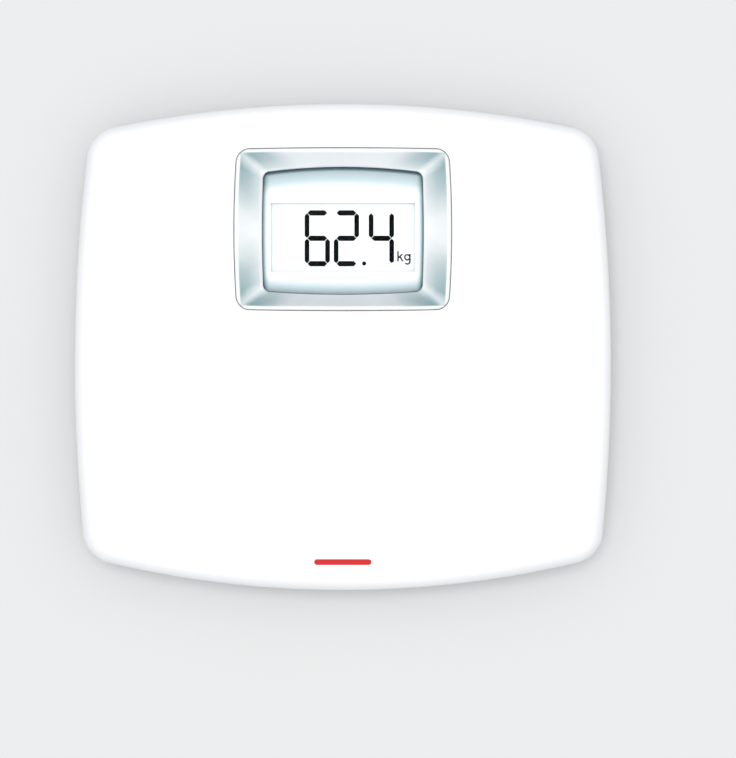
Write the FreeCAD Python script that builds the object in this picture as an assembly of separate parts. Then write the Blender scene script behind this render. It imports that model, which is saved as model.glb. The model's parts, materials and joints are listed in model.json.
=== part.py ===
import FreeCAD, Part
import math
import os

V = FreeCAD.Vector

# Digital bathroom scale, millimetres. The origin is on the floor, under the middle of the
# platform: +X to the user's right, +Y away from the user towards the display, +Z up.

# ---------------------------------------------------------------- housing
HALF_WIDTH = 160.0        # half of the widest left-right size
HALF_DEPTH = 145.0        # half of the front-rear size
WIDEST_Y = -10.5          # the sides bow out most a little in front of the middle
SIDE_BOW_R = 1084.0
REAR_BOW_R = 690.0
FRONT_BOW_R = 615.0
CORNER_R = 20.0
DOME_TOP = 42.0           # top of the crowned platform above the floor
DOME_R = 6000.0
RIM_Z = 31.5              # height of the widest contour
DRAFT = math.tan(math.radians(6.0))
EDGE_R = 8.0              # rounding between platform and skirt
WALL = 2.8
SKIRT_Z = 9.0             # lower edge of the cover's skirt
PAN_Z = 6.5               # underside of the base pan
PAN_FLOOR = 2.4
PAN_WALL = 2.2
PAN_TOP = 19.0
PAN_GAP = 0.4             # between the pan's wall and the skirt

# ---------------------------------------------------------------- display, in its own frame
DISPLAY_Y = 70.0          # middle of the bezel on the platform
BEZEL_X, BEZEL_Y = 64.65, 48.35          # outer half sizes
BEZEL_SIDE_R, BEZEL_END_R, BEZEL_CORNER_R = 615.0, 2660.0, 8.2
LIP_W, LIP_H = 2.7, 0.8                  # rounded rim of the bezel and how far it stands proud
VIEW_X, VIEW_REAR, VIEW_FRONT = 48.2, 37.5, -38.9   # half width and ends of the inner opening
VIEW_SIDE_R, VIEW_REAR_R, VIEW_FRONT_R, VIEW_CORNER_R = 825.0, 345.0, 570.0, 4.5
FUNNEL_Z = -4.5           # lower edge of the sloping face
LEDGE_Z = -3.6            # seat of the bezel in the platform
LEDGE_T = 2.1
LEDGE_W = 2.6
GASKET_T = 0.6
LENS_R = 240.0            # the lens is part of a cylinder along X
LENS_TOP = -5.4
LENS_T = 1.5
LCD_Y = -4.5              # middle of the liquid-crystal cell
WINDOW_X, WINDOW_Y = 43.1, 20.6
SEGMENT_Z, SEGMENT_T = -12.22, 0.1
CARRIER_TOP = -13.4
CARRIER_T = 2.0
BOARD_TOP = -15.4
BOARD_T = 1.6
BOARD_X, BOARD_Y = 57.0, 36.0
CARRIER_POSTS = [(sx * 71.0, sy * 36.0) for sx in (-1, 1) for sy in (-1, 1)]

# ---------------------------------------------------------------- feet and load cells
FEET = {
    "front_left": (-118.0, -98.0),
    "front_right": (118.0, -98.0),
    "rear_left": (-118.0, 98.0),
    "rear_right": (118.0, 98.0),
}
CUP_R, CUP_LOW, CUP_TOP = 22.0, 2.0, 9.0
PAD_R, PAD_T = 19.0, 3.0
CELL_SIZE, CELL_T, CELL_Z = 34.0, 2.5, 14.0
CELL_HOLDER, HOLDER_LOW, HOLDER_TOP = 42.0, 12.0, 22.0
PIN_R, PIN_HOLE_R = 2.0, 2.2

# ---------------------------------------------------------------- batteries and door
BAY_Y = -22.0
BAY_X, BAY_HALF_Y, BAY_TOP = 25.3, 11.7, 20.2
CELL_AAA_R, CELL_AAA_L, CELL_AAA_Z, CELL_AAA_Y = 5.25, 44.5, 14.4, 5.6
NUB_R, NUB_L = 1.9, 0.9
HINGE_Y, HINGE_Z = -8.0, 8.2
BARREL_R, DOOR_PIN_R, DOOR_PIN_GAP = 1.7, 1.1, 0.08
DOOR_X, DOOR_FRONT, DOOR_T = 29.8, -36.6, 2.0
DOOR_GAP = 0.4

# ---------------------------------------------------------------- screws, button
CASE_SCREWS = [(sx * x, y) for sx in (-1, 1)
               for x, y in ((141.0, -8.0), (62.0, 129.0), (62.0, -127.0), (62.0, -45.0))]
SCREW_R, SCREW_HEAD_R = 1.45, 3.0
BUTTON = (-35.0, 80.0)
BUTTON_R = 4.7


def bowed_wire(half_x, rear, front, side_r, rear_r, front_r, corner_r, side_y, inset, z):
    """Four bowed sides joined by tangent corner arcs, all pulled in by inset."""
    def corner(end, end_r, sign):
        side_c, end_c = (half_x - side_r, side_y), (0.0, end - sign * end_r)
        r1, r2 = side_r - corner_r, end_r - corner_r
        dx, dy = end_c[0] - side_c[0], end_c[1] - side_c[1]
        d = math.hypot(dx, dy)
        a = (r1 * r1 - r2 * r2 + d * d) / (2 * d)
        h = sign * math.sqrt(r1 * r1 - a * a)
        cx = side_c[0] + (a * dx + h * dy) / d
        cy = side_c[1] + (a * dy - h * dx) / d
        if cx < 0:
            cx = side_c[0] + (a * dx - h * dy) / d
            cy = side_c[1] + (a * dy + h * dx) / d
        c = V(cx, cy, z)
        to_side = (c - V(side_c[0], side_c[1], z)).normalize()
        to_end = (c - V(end_c[0], end_c[1], z)).normalize()
        r = corner_r - inset
        middle = (to_side + to_end).normalize()
        return c + to_side * r, c + middle * r, c + to_end * r

    def flip(p):
        return V(-p.x, p.y, p.z)

    rear_side, rear_mid, rear_end = corner(rear, rear_r, 1)
    front_side, front_mid, front_end = corner(front, front_r, -1)
    right, left = V(half_x - inset, side_y, z), V(inset - half_x, side_y, z)
    back, fore = V(0, rear - inset, z), V(0, front + inset, z)
    arcs = [
        (front_side, right, rear_side),
        (rear_side, rear_mid, rear_end),
        (rear_end, back, flip(rear_end)),
        (flip(rear_end), flip(rear_mid), flip(rear_side)),
        (flip(rear_side), left, flip(front_side)),
        (flip(front_side), flip(front_mid), flip(front_end)),
        (flip(front_end), fore, front_end),
        (front_end, front_mid, front_side),
    ]
    return Part.Wire([Part.Arc(*a).toShape() for a in arcs])


def body_wire(z, inset):
    drafted = inset + (RIM_Z - z) * DRAFT
    return bowed_wire(HALF_WIDTH, HALF_DEPTH, -HALF_DEPTH, SIDE_BOW_R, REAR_BOW_R, FRONT_BOW_R,
                      CORNER_R, WIDEST_Y, drafted, z)


def bezel_wire(z, inset):
    return bowed_wire(BEZEL_X, BEZEL_Y, -BEZEL_Y, BEZEL_SIDE_R, BEZEL_END_R, BEZEL_END_R,
                      BEZEL_CORNER_R, 0.0, inset, z)


def view_wire(z, inset):
    return bowed_wire(VIEW_X, VIEW_REAR, VIEW_FRONT, VIEW_SIDE_R, VIEW_REAR_R, VIEW_FRONT_R,
                      VIEW_CORNER_R, 0.0, inset, z)


def prism(wire_of, inset, low, high):
    return Part.Face(wire_of(low, inset)).extrude(V(0, 0, high - low))


def loft(*wires):
    return Part.makeLoft(list(wires), True, True)


def box(x0, x1, y0, y1, z0, z1):
    return Part.makeBox(x1 - x0, y1 - y0, z1 - z0, V(x0, y0, z0))


def rod(r, x, y, z0, z1):
    return Part.makeCylinder(r, z1 - z0, V(x, y, z0))


def fused(shapes):
    return shapes[0].fuse(shapes[1:]).removeSplitter() if len(shapes) > 1 else shapes[0]


def group(shapes):
    return Part.makeCompound(shapes)


def revolved(profile, x, y):
    """Turn an (r, z) outline round the vertical through x, y."""
    points = [V(r, 0, z) for r, z in profile]
    face = Part.Face(Part.makePolygon(points + points[:1]))
    turned = face.revolve(V(0, 0, 0), V(0, 0, 1), 360)
    turned.translate(V(x, y, 0))
    return turned


def dome_z(x, y):
    return DOME_TOP - DOME_R + math.sqrt(DOME_R ** 2 - x * x - y * y)


TILT = math.degrees(math.asin(DISPLAY_Y / DOME_R))
DISPLAY = FreeCAD.Placement(V(0, DISPLAY_Y, dome_z(0, DISPLAY_Y)), FreeCAD.Rotation(V(1, 0, 0), -TILT))


def on_display(shape):
    """Carry a shape from the display's own frame, whose Z is square to the platform there."""
    shape.Placement = DISPLAY.multiply(shape.Placement)
    return shape


# ================================================================ housing
def dome_tool(inset):
    """Everything above the crown of the platform, bounded by a patch of a large sphere."""
    ball = Part.Sphere()
    ball.Center = V(0, 0, DOME_TOP - DOME_R)
    ball.Radius = DOME_R - inset
    ball.Axis = V(0, 1, 0)      # poles and seam stay clear of the platform
    u, v = ball.parameter(V(0, 0, DOME_TOP - inset))
    reach = 1.4 * HALF_WIDTH / DOME_R
    patch = ball.toShape(u - reach, u + reach, v - reach, v + reach).toNurbs().Faces[0]
    return patch.extrude(V(0, 0, 30.0))


def body_solid(inset, low):
    blank = loft(body_wire(low, inset), body_wire(DOME_TOP + 6.0, inset))
    crowned = blank.cut(dome_tool(inset))
    top = max(crowned.Faces, key=lambda f: f.CenterOfMass.z)
    return crowned.makeFillet(EDGE_R - inset, top.Edges)


def cover_ribs():
    """Stiffening ribs under the platform, square towers over the load cells, and screw bosses."""
    rib_t, rib_low, high = 1.8, 32.0, DOME_TOP
    ribs = [box(x - rib_t / 2, x + rib_t / 2, -150, 8, rib_low, high) for x in (-100, -50, 0, 50, 100)]
    ribs += [box(-165, 165, y - rib_t / 2, y + rib_t / 2, rib_low, high) for y in (-112, -72, -32, 8)]
    ribs += [box(x - rib_t / 2, x + rib_t / 2, 8, 150, rib_low, high) for x in (-100, 100)]
    ribs += [box(min(x, sx * 165), max(x, sx * 165), 59, 59 + rib_t, rib_low, high)
             for sx, x in ((-1, -82), (1, 82))]
    for x, y in FEET.values():
        half = CELL_HOLDER / 2
        tower = box(x - half, x + half, y - half, y + half, HOLDER_TOP, high)
        inner = half - 2.0
        ribs.append(tower.cut(box(x - inner, x + inner, y - inner, y + inner, HOLDER_TOP, high)))
    ribs += [rod(4.0, x, y, 14.0, high) for x, y in CASE_SCREWS]
    return ribs


def platform_cover():
    outer = body_solid(0.0, SKIRT_Z)
    cavity = body_solid(WALL, SKIRT_Z - 1.0)
    limit = body_solid(WALL * 0.6, SKIRT_Z - 1.0)
    ribs = fused(cover_ribs()).common(limit)
    seat = prism(bezel_wire, -2.4, LEDGE_Z - LEDGE_T, -1.0)
    seat = seat.cut(prism(bezel_wire, -0.35, LEDGE_Z, 6.0))
    seat = on_display(seat.cut(prism(bezel_wire, LEDGE_W, LEDGE_Z - 12.0, 6.0)))
    posts = [on_display(rod(4.0, x, y, CARRIER_TOP, -1.5)) for x, y in CARRIER_POSTS]
    shell = outer.cut(cavity).cut(on_display(prism(bezel_wire, -0.35, LEDGE_Z - 12.0, 6.0)))
    cover = shell.fuse([ribs, seat] + posts)
    holes = [on_display(rod(1.2, x, y, CARRIER_TOP - 1, -4.0)) for x, y in CARRIER_POSTS]
    holes += [rod(SCREW_R, x, y, 13.0, 30.0) for x, y in CASE_SCREWS]
    holes += [on_display(box(x - 3.2, x + 3.2, y - 3.2, y + 3.2, LEDGE_Z - LEDGE_T - 1, LEDGE_Z + 0.1))
              for x, y, _ in bezel_clips()]
    return cover.cut(holes)


def pan_blank(inset, low, high):
    return loft(body_wire(low, inset), body_wire(high, inset))


def pan_outer():
    blank = pan_blank(WALL + PAN_GAP, PAN_Z, PAN_TOP)
    low = [f for f in blank.Faces if abs(f.CenterOfMass.z - PAN_Z) < 0.01][0]
    return blank.makeFillet(2.0, low.Edges)


def base_ribs():
    rib_t, top = 1.8, 13.0
    floor_top = PAN_Z + PAN_FLOOR
    ribs = [box(-150, 150, y - rib_t / 2, y + rib_t / 2, floor_top - 0.5, top) for y in (-72, -50, 6, 30, 52)]
    ribs += [box(x - rib_t / 2, x + rib_t / 2, -135, 135, floor_top - 0.5, top) for x in (-90, -46, 46, 90)]
    return ribs


def base_pan():
    floor_top = PAN_Z + PAN_FLOOR
    inner_inset = WALL + PAN_GAP + PAN_WALL
    inner = pan_blank(inner_inset, floor_top, PAN_TOP + 1)
    pan = pan_outer().cut(inner)
    adds = [r.common(pan_blank(inner_inset - 1.0, floor_top - 0.5, PAN_TOP)) for r in base_ribs()]
    clear = [rod(CUP_R + 5.0, x, y, floor_top, PAN_TOP) for x, y in FEET.values()]
    clear += [box(x - 24, x + 24, y - 24, y + 24, floor_top, PAN_TOP) for x, y in FEET.values()]
    clear.append(rod(11.0, BUTTON[0], BUTTON[1], floor_top, PAN_TOP))
    ribs = fused(adds).cut(clear)
    solid = [rod(CUP_R + 3.5, x, y, floor_top - 0.5, 11.5) for x, y in FEET.values()]
    solid += [rod(5.0, x, y, floor_top - 0.5, 14.0) for x, y in CASE_SCREWS]
    solid.append(rod(8.2, BUTTON[0], BUTTON[1], floor_top - 0.5, 13.5))
    bay_half_x = DOOR_X + 4.5
    solid.append(box(-bay_half_x, bay_half_x, DOOR_FRONT - 3.0, HINGE_Y + 5.0, PAN_Z, BAY_TOP + 1.6))
    pan = pan.fuse([ribs] + solid)
    return pan.cut(pan_holes())


def pan_holes():
    floor_top = PAN_Z + PAN_FLOOR
    holes = [rod(CUP_R + 1.0, x, y, PAN_Z - 1, PAN_TOP) for x, y in FEET.values()]
    holes += [rod(SCREW_R + 0.25, x, y, PAN_Z - 1, 15.0) for x, y in CASE_SCREWS]
    holes += [rod(SCREW_HEAD_R + 0.3, x, y, PAN_Z - 1, 10.5) for x, y in CASE_SCREWS]
    holes += [rod(BUTTON_R + 0.3, *BUTTON, PAN_Z - 1, PAN_TOP), rod(7.6, *BUTTON, PAN_Z - 1, PAN_Z + 0.7)]
    holes.append(rod(6.6, *BUTTON, floor_top, PAN_TOP))
    holes.append(box(-BAY_X, BAY_X, BAY_Y - BAY_HALF_Y, BAY_Y + BAY_HALF_Y, PAN_Z - 1, BAY_TOP))
    x = DOOR_X + DOOR_GAP
    holes.append(box(-x, x, DOOR_FRONT - 0.5, HINGE_Y + BARREL_R + 0.5, PAN_Z - 1, PAN_Z + DOOR_T + 0.2))
    holes.append(Part.makeCylinder(BARREL_R + 0.5, 2 * x, V(-x, HINGE_Y, HINGE_Z), V(1, 0, 0)))
    reach = DOOR_X + 2.8
    holes.append(Part.makeCylinder(DOOR_PIN_R + DOOR_PIN_GAP, 2 * reach,
                                   V(-reach, HINGE_Y, HINGE_Z), V(1, 0, 0)))
    holes.append(box(-7, 7, DOOR_FRONT - 0.3, BAY_Y - BAY_HALF_Y + 1, PAN_Z + 1, 16.0))
    notch = Part.makeCylinder(9.0, 3.0, V(0, DOOR_FRONT + 3.5, PAN_Z - 0.8))
    holes.append(notch.common(box(-10, 10, DOOR_FRONT - 12, DOOR_FRONT, PAN_Z - 1, PAN_Z + 1.4)))
    for y in (-CELL_AAA_Y, CELL_AAA_Y):
        holes.append(box(-BAY_X - 0.05, -BAY_X + 1.6, BAY_Y + y - 1.5, BAY_Y + y + 1.5,
                         BAY_TOP - 1, BAY_TOP + 3))
    holes.append(box(-32, 32, 38, 66, PAN_Z - 1, PAN_Z + 0.5))    # recess for a rating label
    return holes


def screw(x, y, seat_z, length, shank_r, head_r, head_t, flip=1):
    """Pan-head screw driven along +Z; its head is below seat_z. The head has a cross recess."""
    head = rod(head_r, x, y, seat_z - head_t, seat_z)
    rim = [e for e in head.Edges if abs(e.CenterOfMass.z - (seat_z - head_t)) < 0.01]
    head = head.makeFillet(head_t * 0.4, rim)
    slot, half = head_r * 0.62, head_r * 0.13
    low = seat_z - head_t - 0.1
    cross = box(x - slot, x + slot, y - half, y + half, low, low + head_t * 0.6)
    cross = cross.fuse(box(x - half, x + half, y - slot, y + slot, low, low + head_t * 0.6))
    shank = rod(shank_r, x, y, seat_z, seat_z + length - 1.0)
    tip = Part.makeCone(shank_r, 0.3, 1.0, V(x, y, seat_z + length - 1.0))
    return fused([head.cut(cross), shank, tip])


def case_screws():
    return group([screw(x, y, 10.5, 14.0, SCREW_R, SCREW_HEAD_R, 2.0) for x, y in CASE_SCREWS])


# ================================================================ display
def bezel_clips():
    """x, y of each snap clip's middle on the bezel's rim, and the inward direction."""
    side, end = BEZEL_X - 1.3, BEZEL_Y - 1.2
    clips = [(sx * side, y, (-sx, 0)) for sx in (-1, 1) for y in (-22, 22)]
    return clips + [(x, sy * end, (0, -sy)) for sy in (-1, 1) for x in (-34, 34)]


def display_bezel():
    wall_low, bottom = -2.4, -10.5
    blank = prism(bezel_wire, 0.0, bottom, LIP_H)
    top = [f for f in blank.Faces if abs(f.CenterOfMass.z - LIP_H) < 0.01][0]
    blank = blank.makeFillet(1.3, top.Edges)
    funnel = loft(bezel_wire(LIP_H + 0.4, LIP_W - 0.5), view_wire(FUNNEL_Z, 0.0))
    hole = prism(view_wire, 0.0, bottom - 1, FUNNEL_Z)
    bezel = blank.cut([funnel, hole])
    bezel = bezel.makeFillet(0.55, sharp_rims(bezel))
    # hollow behind the sloping face, so the wall is about 2 mm all round
    behind = prism(bezel_wire, 2.2, bottom - 1, wall_low)
    core = loft(bezel_wire(wall_low + 0.05, 2.2), view_wire(FUNNEL_Z - 2.2, -1.8))
    core = core.fuse(prism(view_wire, -1.8, bottom - 2, FUNNEL_Z - 2.2))
    flange_low = LEDGE_Z + GASKET_T
    under = prism(bezel_wire, -1.0, bottom - 1, flange_low)
    under = under.cut(prism(bezel_wire, 2.2, bottom - 2, flange_low + 1))
    bezel = bezel.cut([behind.cut(core), under])
    bezel = bezel.cut(lens_cylinder(LENS_R + 0.15, LENS_TOP - LENS_R, 56.0))
    clips = []
    for x, y, (ix, _) in bezel_clips():
        wide_x, wide_y = (0.7, 2.5) if ix else (2.5, 0.7)
        low = LEDGE_Z - LEDGE_T - 1.4
        clips.append(box(x - wide_x, x + wide_x, y - wide_y, y + wide_y, low, flange_low + 0.5))
    return on_display(bezel.fuse(clips).removeSplitter())


def sharp_rims(shape):
    """Edges round the top and foot of the bezel's sloping face."""
    found = []
    for e in shape.Edges:
        z = e.CenterOfMass.z
        p = e.valueAt((e.FirstParameter + e.LastParameter) / 2)
        inside = abs(p.x) < BEZEL_X - 1.8 and abs(p.y) < BEZEL_Y - 1.8
        box_z = e.BoundBox.ZLength
        if inside and box_z < 0.01 and (abs(z - LIP_H) < 0.01 or abs(z - FUNNEL_Z) < 0.01):
            found.append(e)
    return found


def lens_cylinder(r, centre_z, half_x):
    return Part.makeCylinder(r, 2 * half_x, V(-half_x, LCD_Y, centre_z), V(1, 0, 0))


def curved_sheet(outer_r, t, half_x, y0, y1):
    """Sheet of thickness t bent round the lens's cylinder axis."""
    centre = LENS_TOP - LENS_R
    sheet = lens_cylinder(outer_r, centre, half_x).cut(lens_cylinder(outer_r - t, centre, half_x + 1))
    return sheet.common(box(-half_x, half_x, y0, y1, LENS_TOP - 30, LENS_TOP + 5))


def bezel_gasket():
    ring = prism(bezel_wire, 0.25, LEDGE_Z, LEDGE_Z + GASKET_T)
    ring = ring.cut(prism(bezel_wire, 2.0, LEDGE_Z - 1, LEDGE_Z + 2))
    gaps = []
    for x, y, _ in bezel_clips():
        gaps.append(box(x - 3.2, x + 3.2, y - 3.2, y + 3.2, LEDGE_Z - 1, LEDGE_Z + 2))
    return on_display(group(ring.cut(gaps).Solids))


def display_lens():
    return on_display(curved_sheet(LENS_R, LENS_T, VIEW_X + 2.2, VIEW_FRONT - 1.7, VIEW_REAR + 1.7))


def lcd_surround():
    outer_r = LENS_R - LENS_T - 0.3
    half_x, y0, y1 = VIEW_X + 2.6, VIEW_FRONT - 2.0, VIEW_REAR + 2.0
    centre = LENS_TOP - LENS_R
    block = box(-half_x, half_x, y0, y1, CARRIER_TOP, LENS_TOP)
    block = block.common(lens_cylinder(outer_r, centre, half_x + 1))
    core = box(-half_x + 1.4, half_x - 1.4, y0 + 1.4, y1 - 1.4, CARRIER_TOP - 1, LENS_TOP)
    core = core.common(lens_cylinder(outer_r - 1.2, centre, half_x + 1))
    window = box(-WINDOW_X, WINDOW_X, LCD_Y - WINDOW_Y, LCD_Y + WINDOW_Y, CARRIER_TOP, 0)
    return on_display(block.cut([core, window]))


def lcd_plate(half_x, half_y, low, high):
    return on_display(box(-half_x, half_x, LCD_Y - half_y, LCD_Y + half_y, low, high))


def lcd_frame():
    outer = box(-49, 49, LCD_Y - 28.2, LCD_Y + 28.2, BOARD_TOP, -10.2)
    inner = box(-47.1, 47.1, LCD_Y - 26.1, LCD_Y + 26.1, BOARD_TOP - 1, -11.0)
    opening = box(-45.8, 45.8, LCD_Y - 24.8, LCD_Y + 24.8, -12, -9)
    return on_display(outer.cut([inner, opening]))


def polygon(points, z, t):
    corners = [V(x, y, z) for x, y in points]
    return Part.Face(Part.makePolygon(corners + corners[:1])).extrude(V(0, 0, t))


def bar(x0, y0, x1, y1, stroke, gap):
    """Bar with pointed ends that runs between two corner points of a digit, a gap short of each."""
    along = V(x1 - x0, y1 - y0, 0).normalize()
    side = V(-along.y, along.x, 0) * (stroke / 2)
    a, b = V(x0, y0, 0) + along * gap, V(x1, y1, 0) - along * gap
    point = along * (stroke / 2)
    corners = [a, a + point + side, b - point + side, b, b - point - side, a + point - side]
    return [(p.x, p.y) for p in corners]


def digit(cx, cy, lit):
    """Seven bars: a top, b and c right, d foot, e and f left, g middle."""
    width, height, upright, level, gap = 15.1, 33.5, 2.8, 3.15, 0.22
    x0, x1 = cx - (width - upright) / 2, cx + (width - upright) / 2
    y0, y1 = cy - (height - level) / 2, cy + (height - level) / 2
    ends = {
        "a": (x0, y1, x1, y1), "b": (x1, y1, x1, cy), "c": (x1, cy, x1, y0), "d": (x0, y0, x1, y0),
        "e": (x0, y0, x0, cy), "f": (x0, cy, x0, y1), "g": (x0, cy, x1, cy),
    }
    bars = []
    for name in lit:
        stroke = level if name in "adg" else upright
        bars.append(polygon(bar(*ends[name], stroke, gap), SEGMENT_Z, SEGMENT_T))
    return bars


def unit_letters(x, base):
    """The letters kg, drawn as plain strokes."""
    z, t, stroke = SEGMENT_Z, SEGMENT_T, 0.85
    stem = box(x, x + stroke, base, base + 6.2, z, z + t)
    arm = polygon([(x + 0.7, base + 1.5), (x + 0.7, base + 2.7), (x + 2.5, base + 4.5),
                   (x + 3.6, base + 4.5)], z, t)
    leg = polygon([(x + 1.3, base + 2.5), (x + 2.0, base + 3.1), (x + 3.8, base), (x + 2.8, base)], z, t)
    letter_k = fused([stem, arm, leg])
    gx, gr, gy = x + 6.0, 1.95, base + 2.45
    right = gx + gr
    bowl = rod(gr, gx, gy, z, z + t).cut(rod(gr - stroke, gx, gy, z - 1, z + 1))
    tail = rod(gr, gx, base - 0.05, z, z + t).cut(rod(gr - stroke, gx, base - 0.05, z - 1, z + 1))
    tail = tail.common(box(gx - gr, right, base - 3, base - 0.05, z - 1, z + 1))
    tail = tail.cut(box(gx - gr - 1, gx - 1.0, base - 1.0, base, z - 1, z + 1))
    side = box(right - stroke, right, base - 0.1, base + 4.5, z, z + t)
    return [letter_k, fused([bowl, side, tail])]


def lcd_segments():
    """The reading 62.4 kg: three seven-bar digits, a round point and the unit."""
    y = LCD_Y - 0.4
    marks = digit(-15.3, y, "acdefg") + digit(2.1, y, "abdeg") + digit(23.0, y, "bcfg")
    marks.append(rod(1.25, 12.7, y - 15.0, SEGMENT_Z, SEGMENT_Z + SEGMENT_T))
    return on_display(group(marks + unit_letters(32.5, LCD_Y - 14.2)))


def zebra_strips():
    return on_display(group([box(-45, 45, LCD_Y + sy * 24.6 - 1.1, LCD_Y + sy * 24.6 + 1.1, BOARD_TOP, -12.1)
                             for sy in (-1, 1)]))


def display_carrier():
    low = CARRIER_TOP - CARRIER_T
    plate = box(-66, 66, -47, 46, low, CARRIER_TOP)
    ears = [rod(5.0, x, y, low, CARRIER_TOP) for x, y in CARRIER_POSTS]
    ears += [box(min(x, sx * 60), max(x, sx * 60), y - 5, y + 5, low, CARRIER_TOP)
             for x, y in CARRIER_POSTS for sx in ((1,) if x > 0 else (-1,))]
    rim_high = CARRIER_TOP + 2.5
    half_x, y0, y1 = VIEW_X + 2.9, VIEW_FRONT - 2.3, VIEW_REAR + 2.3
    rim = box(-half_x - 1.5, half_x + 1.5, y0 - 1.5, y1 + 1.5, CARRIER_TOP - 0.5, rim_high)
    rim = rim.cut(box(-half_x, half_x, y0, y1, CARRIER_TOP - 1, rim_high + 1))
    holes = [box(-50, 50, LCD_Y - 29.2, LCD_Y + 29.2, low - 1, CARRIER_TOP + 1)]
    holes += [rod(1.5, x, y, low - 1, CARRIER_TOP + 1) for x, y in CARRIER_POSTS]
    holes += [rod(1.0, x, y, low - 1, CARRIER_TOP + 0.2) for x, y in board_screw_points()]
    return on_display(fused([plate] + ears + [rim]).cut(holes))


def board_screw_points():
    return [(sx * (BOARD_X - 3.5), LCD_Y + sy * (BOARD_Y - 3.5)) for sx in (-1, 1) for sy in (-1, 1)]


def carrier_screws():
    seat = CARRIER_TOP - CARRIER_T
    return on_display(group([screw(x, y, seat, 8.0, 1.2, 2.4, 1.5) for x, y in CARRIER_POSTS]))


def main_board():
    low = BOARD_TOP - BOARD_T
    board = box(-BOARD_X, BOARD_X, LCD_Y - BOARD_Y, LCD_Y + BOARD_Y, low, BOARD_TOP)
    corners = [e for e in board.Edges if e.BoundBox.ZLength > 1.0]
    board = board.makeFillet(2.0, corners)
    holes = [rod(1.2, x, y, low - 1, BOARD_TOP + 1) for x, y in board_screw_points()]
    return on_display(board.cut(holes))


def board_screws():
    seat = BOARD_TOP - BOARD_T
    return on_display(group([screw(x, y, seat, 3.4, 1.0, 2.0, 1.3) for x, y in board_screw_points()]))


# ================================================================ electronics under the board
UNDER = BOARD_TOP - BOARD_T


def controller_chip():
    """Epoxy drop over the bonded controller."""
    drop_r, drop_h = 10.0, 2.0
    ball_r = (drop_r ** 2 + drop_h ** 2) / (2 * drop_h)
    ball = Part.makeSphere(ball_r, V(8, 6, UNDER - drop_h + ball_r))
    return on_display(ball.common(box(-10, 30, -20, 30, UNDER - 5, UNDER)))


def chip_parts():
    """Surface-mount resistors and capacitors in two rows beside the controller."""
    parts = []
    for k in range(7):
        parts.append(box(-20, -18, -16 + 5.2 * k, -14.8 + 5.2 * k, UNDER - 0.6, UNDER))
    for k in range(6):
        parts.append(box(24 + 4.4 * k, 25.2 + 4.4 * k, -14, -12, UNDER - 0.8, UNDER))
    return on_display(group(parts))


def capacitors():
    cans = []
    for x, y, r, h in ((30, 14, 2.5, 6.5), (38, 14, 2.5, 6.5), (46, 6, 3.15, 7.0)):
        can = rod(r, x, y, UNDER - h, UNDER)
        rims = [e for e in can.Edges if abs(e.CenterOfMass.z - (UNDER - h)) < 0.01]
        cans.append(can.makeFillet(0.5, rims))
    return on_display(group(cans))


def clock_crystal():
    body = Part.makeCylinder(1.5, 6.0, V(20, -8, UNDER - 1.5), V(1, 0, 0))
    return on_display(body)


def tap_sensor():
    """Upright spring-in-a-can switch that wakes the scale at a tap."""
    can = rod(2.4, -44, 18, UNDER - 9.0, UNDER)
    rims = [e for e in can.Edges if abs(e.CenterOfMass.z - (UNDER - 9.0)) < 0.01]
    return on_display(can.makeFillet(0.8, rims))


HEADER_X = (-44.0, -22.0, 0.0, 22.0, 44.0)
HEADER_Y = LCD_Y - BOARD_Y + 4.0


def wire_headers():
    shells = []
    for x in HEADER_X:
        shell = box(x - 4.5, x + 4.5, HEADER_Y - 2.6, HEADER_Y + 2.6, UNDER - 5.0, UNDER)
        socket = box(x - 3.7, x + 3.7, HEADER_Y - 3.0, HEADER_Y + 1.6, UNDER - 4.2, UNDER - 1.0)
        shells.append(shell.cut(socket))
    return on_display(group(shells))


SWITCH_X, SWITCH_Y = BUTTON[0], BUTTON[1] - DISPLAY_Y
SWITCH_LOW, PLUNGER_LOW = UNDER - 3.5, UNDER - 4.8


def unit_switch():
    body = box(SWITCH_X - 3, SWITCH_X + 3, SWITCH_Y - 3, SWITCH_Y + 3, SWITCH_LOW, UNDER)
    return on_display(body.cut(rod(2.1, SWITCH_X, SWITCH_Y, SWITCH_LOW - 1, SWITCH_LOW + 2.4)))


def switch_plunger():
    return on_display(rod(1.7, SWITCH_X, SWITCH_Y, PLUNGER_LOW, PLUNGER_LOW + 2.4))


def unit_button():
    x, y = BUTTON
    face_z, flange_low, flange_t = PAN_Z + 0.9, PAN_Z + PAN_FLOOR + 0.1, 1.0
    cap = rod(BUTTON_R, x, y, face_z, flange_low + 0.5)
    low_rim = [e for e in cap.Edges if abs(e.CenterOfMass.z - face_z) < 0.01]
    cap = cap.makeFillet(0.6, low_rim)
    dish = Part.makeSphere(14.0, V(x, y, face_z + 0.45 - 14.0))
    stem_top = DISPLAY.multVec(V(SWITCH_X, SWITCH_Y, PLUNGER_LOW)).z - 0.05
    flange = rod(6.2, x, y, flange_low, flange_low + flange_t)
    stem = rod(2.0, x, y, flange_low, stem_top)
    fins = [box(x - 4.5, x + 4.5, y - 0.5, y + 0.5, flange_low, stem_top - 2.0),
            box(x - 0.5, x + 0.5, y - 4.5, y + 4.5, flange_low, stem_top - 2.0)]
    return fused([cap.cut(dish), flange, stem] + fins)


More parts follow.
